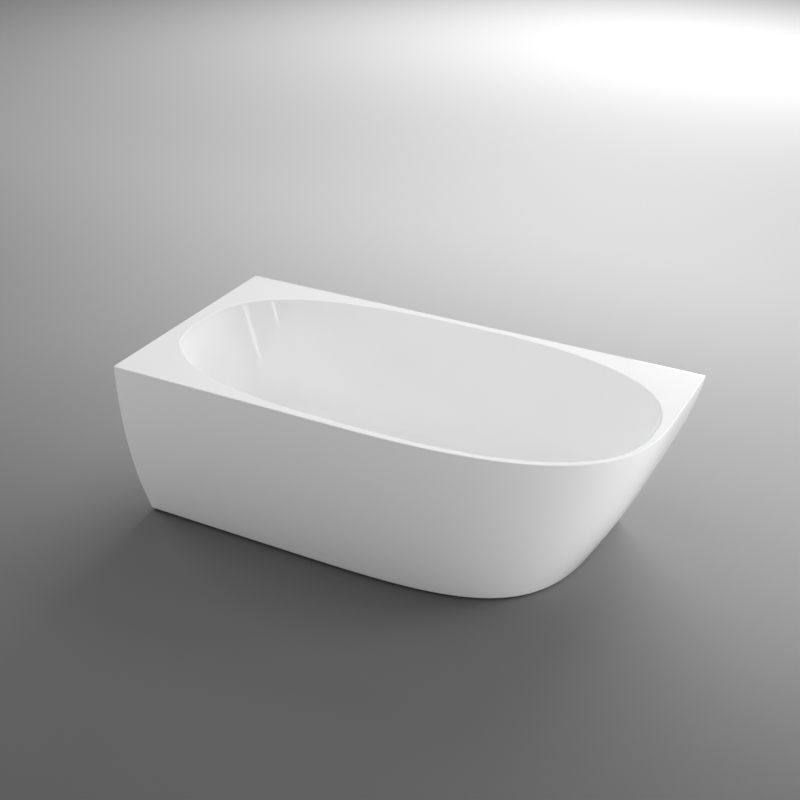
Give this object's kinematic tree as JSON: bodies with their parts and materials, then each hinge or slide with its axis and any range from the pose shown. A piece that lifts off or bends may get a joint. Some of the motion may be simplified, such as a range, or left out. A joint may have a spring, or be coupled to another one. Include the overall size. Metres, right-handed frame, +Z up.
{
  "type": "freestanding corner bathtub",
  "caption": "Oval-welled acrylic bathtub with a flat deck, straight wall sides and a rounded tapering apron, on a levelling steel frame with plug, overflow and trap.",
  "frame": {"origin": "centre of the footprint's box at floor level, under the foot pads", "axes": "+X along the bath from the square left end to the rounded right end, +Y from the front apron to the wall side, +Z up"},
  "size_m": [1.65, 0.8, 0.6],
  "materials": {
    "shell_acrylic": "gloss white cast acrylic",
    "plywood": "raw birch plywood",
    "frame_coat": "satin grey powder coat on steel tube",
    "zinc_steel": "bright zinc plate",
    "chrome": "polished chrome",
    "white_plastic": "satin white polypropylene",
    "grey_plastic": "satin grey polypropylene",
    "black_rubber": "matt black rubber"
  },
  "bodies": {
    "root": {"base_board": "plywood", "basin_shell": "shell_acrylic", "bracket_screw_front_centre": "zinc_steel", "bracket_screw_front_left": "zinc_steel", "bracket_screw_right": "zinc_steel", "foot_boss_1": "zinc_steel", "foot_boss_2": "zinc_steel", "foot_boss_3": "zinc_steel", "foot_boss_4": "zinc_steel", "foot_boss_5": "zinc_steel", "foot_lock_nut_1": "zinc_steel", "foot_lock_nut_2": "zinc_steel", "foot_lock_nut_3": "zinc_steel", "foot_lock_nut_4": "zinc_steel", "foot_lock_nut_5": "zinc_steel", "frame_beam_centre": "frame_coat", "frame_beam_left": "frame_coat", "frame_beam_right": "frame_coat", "frame_post_back_left": "frame_coat", "frame_post_back_right": "frame_coat", "frame_post_front_left": "frame_coat", "frame_rail_back": "frame_coat", "frame_rail_front": "frame_coat", "hose_nut_lower": "grey_plastic", "outer_skin": "shell_acrylic", "outlet_nut": "grey_plastic", "outlet_pipe": "white_plastic", "overflow_cover": "chrome", "overflow_elbow": "white_plastic", "overflow_gasket": "black_rubber", "overflow_hose": "grey_plastic", "rim_block_back_left": "plywood", "rim_block_back_right": "plywood", "rim_block_front_left": "plywood", "skin_bracket_front_centre": "zinc_steel", "skin_bracket_front_left": "zinc_steel", "skin_bracket_right": "zinc_steel", "trap_body": "white_plastic", "trap_nut": "grey_plastic", "waste_body": "white_plastic", "waste_flange": "chrome", "waste_gasket_lower": "black_rubber", "waste_gasket_upper": "black_rubber"},
    "plug": {"waste_plug": "chrome", "waste_plug_seal": "black_rubber"},
    "foot_1_base": {"foot_pad_1": "black_rubber"},
    "foot_1_screw": {"foot_rod_1": "zinc_steel"},
    "foot_2_base": {"foot_pad_2": "black_rubber"},
    "foot_2_screw": {"foot_rod_2": "zinc_steel"},
    "foot_3_base": {"foot_pad_3": "black_rubber"},
    "foot_3_screw": {"foot_rod_3": "zinc_steel"},
    "foot_4_base": {"foot_pad_4": "black_rubber"},
    "foot_4_screw": {"foot_rod_4": "zinc_steel"},
    "foot_5_base": {"foot_pad_5": "black_rubber"},
    "foot_5_screw": {"foot_rod_5": "zinc_steel"}
  },
  "joints": [
    {"name": "plug_lift", "type": "slide", "parent": "root", "child": "plug", "axis": [0, 0, 1], "range_m": [0, 0.008]},
    {"name": "foot_1_height", "type": "slide", "parent": "root", "child": "foot_1_base", "axis": [0, 0, 1], "range_m": [-0.015, 0.004]},
    {"name": "foot_1_turn", "type": "hinge", "parent": "foot_1_base", "child": "foot_1_screw", "pos_m": [-0.7, -0.215, 0.05], "axis": [0, 0, 1], "range_deg": [-3100, 840]},
    {"name": "foot_2_height", "type": "slide", "parent": "root", "child": "foot_2_base", "axis": [0, 0, 1], "range_m": [-0.015, 0.004]},
    {"name": "foot_2_turn", "type": "hinge", "parent": "foot_2_base", "child": "foot_2_screw", "pos_m": [-0.7, 0.3, 0.05], "axis": [0, 0, 1], "range_deg": [-3100, 840]},
    {"name": "foot_3_height", "type": "slide", "parent": "root", "child": "foot_3_base", "axis": [0, 0, 1], "range_m": [-0.015, 0.004]},
    {"name": "foot_3_turn", "type": "hinge", "parent": "foot_3_base", "child": "foot_3_screw", "pos_m": [-0.12, -0.215, 0.05], "axis": [0, 0, 1], "range_deg": [-3100, 840]},
    {"name": "foot_4_height", "type": "slide", "parent": "root", "child": "foot_4_base", "axis": [0, 0, 1], "range_m": [-0.015, 0.004]},
    {"name": "foot_4_turn", "type": "hinge", "parent": "foot_4_base", "child": "foot_4_screw", "pos_m": [0.5, -0.04, 0.05], "axis": [0, 0, 1], "range_deg": [-3100, 840]},
    {"name": "foot_5_height", "type": "slide", "parent": "root", "child": "foot_5_base", "axis": [0, 0, 1], "range_m": [-0.015, 0.004]},
    {"name": "foot_5_turn", "type": "hinge", "parent": "foot_5_base", "child": "foot_5_screw", "pos_m": [0.5, 0.31, 0.05], "axis": [0, 0, 1], "range_deg": [-3100, 840]}
  ],
  "couplings": [
    {"joint": "foot_1_turn", "follows": "foot_1_height", "rad_per_m": 3590.4},
    {"joint": "foot_2_turn", "follows": "foot_2_height", "rad_per_m": 3590.4},
    {"joint": "foot_3_turn", "follows": "foot_3_height", "rad_per_m": 3590.4},
    {"joint": "foot_4_turn", "follows": "foot_4_height", "rad_per_m": 3590.4},
    {"joint": "foot_5_turn", "follows": "foot_5_height", "rad_per_m": 3590.4}
  ]
}
